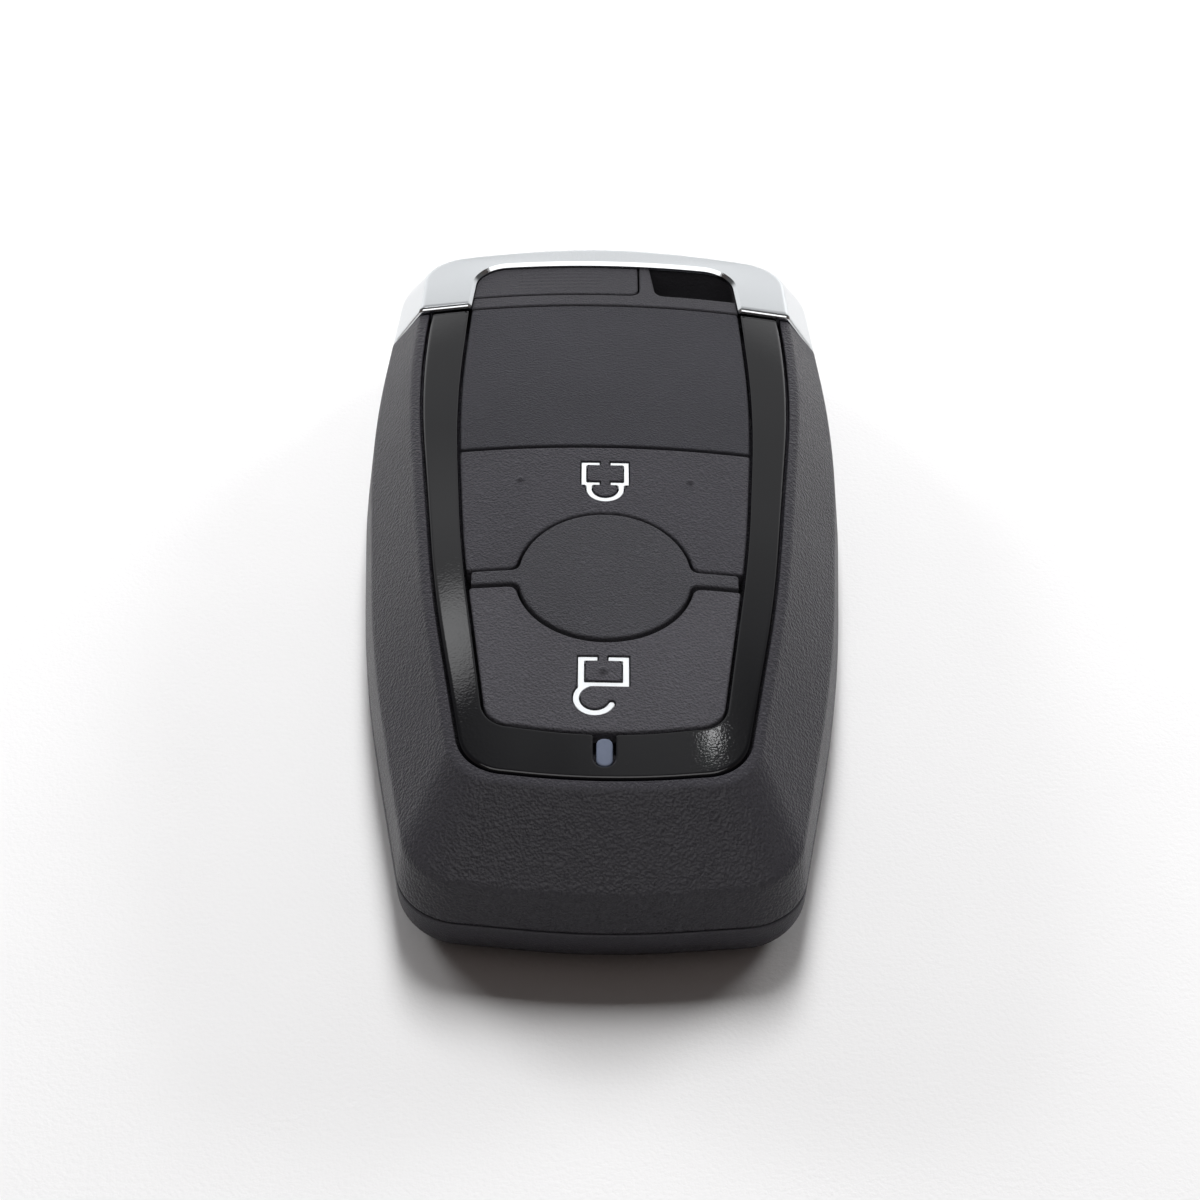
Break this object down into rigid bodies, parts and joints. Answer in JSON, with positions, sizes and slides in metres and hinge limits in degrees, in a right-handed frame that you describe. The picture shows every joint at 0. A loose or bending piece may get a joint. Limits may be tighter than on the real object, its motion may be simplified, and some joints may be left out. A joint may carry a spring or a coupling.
{
  "type": "car key fob",
  "caption": "Flat smart car key fob: bevelled charcoal shell, gloss trim ring, lock, unlock and centre keys, and a pull-out emergency key with a bright end cap and keyring opening.",
  "frame": {"origin": "centre of the bounding box's bottom face: the back cover's flat underside", "axes": "+Y along the fob towards the bright end cap, +X to the right seen from the keys, +Z out of the key side"},
  "size_m": [0.0424, 0.0788, 0.0153],
  "materials": {
    "charcoal_grain": "fine leather-like moulded grain, charcoal",
    "cover_plastic": "fine moulded grain, charcoal",
    "piano_black": "high-gloss black",
    "key_plastic": "fine matt charcoal",
    "panel_plastic": "smooth satin charcoal",
    "white_mark": "matt white inlay",
    "smoke_window": "frosted bluish translucent plastic",
    "satin_silver": "satin silver plate",
    "head_plastic": "matt black moulded",
    "key_steel": "milled nickel silver",
    "spring_steel": "bare spring steel",
    "silicone": "translucent grey silicone",
    "gasket_rubber": "soft black rubber",
    "frame_plastic": "natural white moulded",
    "board_green": "solder-masked board",
    "chip_black": "moulded chip package",
    "tin_plate": "tin-plated metal",
    "ceramic": "ceramic chip part",
    "lamp_resin": "clear yellow resin",
    "ferrite": "sintered ferrite",
    "copper_wire": "enamelled copper winding",
    "cell_steel": "nickel-plated can"
  },
  "bodies": {
    "fob": {"front_housing": "charcoal_grain", "back_cover": "cover_plastic", "trim_ring": "piano_black", "light_pipe": "smoke_window", "blank_panel": "panel_plastic", "keypad_mat": "silicone", "lock_dome": "silicone", "unlock_dome": "silicone", "centre_dome": "silicone", "seal_gasket": "gasket_rubber", "inner_frame": "frame_plastic", "circuit_board": "board_green", "lock_switch": "tin_plate", "unlock_switch": "tin_plate", "centre_switch": "tin_plate", "microcontroller": "chip_black", "radio_chip": "chip_black", "crystal": "tin_plate", "chip_capacitors": "ceramic", "indicator_lamp": "lamp_resin", "loop_antenna": "tin_plate", "wake_coil_core": "ferrite", "wake_coil_winding": "copper_wire", "coin_cell": "cell_steel", "negative_contact": "spring_steel", "positive_contact": "spring_steel"},
    "lock_key": {"lock_button": "key_plastic", "lock_mark": "white_mark"},
    "unlock_key": {"unlock_button": "key_plastic", "unlock_mark": "white_mark"},
    "centre_key": {"centre_button": "key_plastic"},
    "key_insert": {"key_cap": "satin_silver", "key_head": "head_plastic", "key_blade": "key_steel", "blade_pin": "spring_steel", "release_spring": "spring_steel"},
    "release_key": {"release_button": "head_plastic"}
  },
  "joints": [
    {"name": "lock_press", "type": "slide", "parent": "fob", "child": "lock_key", "axis": [0, 0, -1], "range_m": [0, 0.0005], "stiffness_N_per_m": 1500, "springref_m": -0.0005, "deforming": ["lock_dome"]},
    {"name": "unlock_press", "type": "slide", "parent": "fob", "child": "unlock_key", "axis": [0, 0, -1], "range_m": [0, 0.0005], "stiffness_N_per_m": 1500, "springref_m": -0.0005, "deforming": ["unlock_dome"]},
    {"name": "centre_press", "type": "slide", "parent": "fob", "child": "centre_key", "axis": [0, 0, -1], "range_m": [0, 0.0005], "stiffness_N_per_m": 1500, "springref_m": -0.0005, "deforming": ["centre_dome"]},
    {"name": "key_insert_slide", "type": "slide", "parent": "fob", "child": "key_insert", "axis": [0, 1, 0], "range_m": [0, 0.055]},
    {"name": "release_press", "type": "slide", "parent": "key_insert", "child": "release_key", "axis": [0, 0, -1], "range_m": [0, 0.0007], "stiffness_N_per_m": 1200, "springref_m": -0.0005, "deforming": ["release_spring"]}
  ]
}
